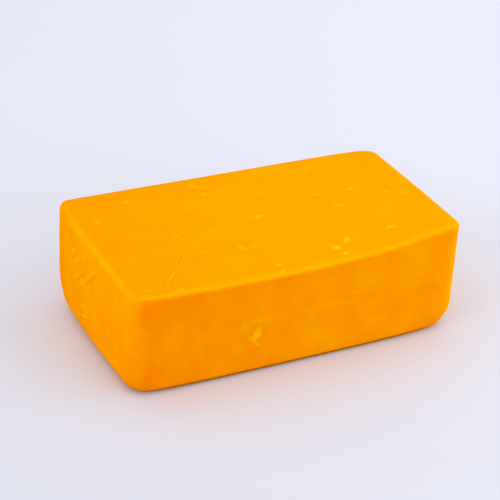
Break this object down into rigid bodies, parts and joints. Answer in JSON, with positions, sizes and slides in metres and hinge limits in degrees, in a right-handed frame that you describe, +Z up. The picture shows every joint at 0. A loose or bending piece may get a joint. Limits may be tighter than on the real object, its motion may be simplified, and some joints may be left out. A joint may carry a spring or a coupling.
{
  "type": "block of mild cheddar cheese",
  "caption": "Rectangular block of mild cheddar in bright orange, with softened edges, a dipped top, a small chip and wrapper creases.",
  "frame": {"origin": "middle of the block's outline in plan, on its flat underside", "axes": "+X along the length towards the right end, -Y out of the long front face, +Z up"},
  "size_m": [0.1342, 0.0776, 0.0438],
  "materials": {
    "cheddar": "satin"
  },
  "bodies": {
    "root": {"cheese_block": "cheddar"}
  },
  "joints": []
}
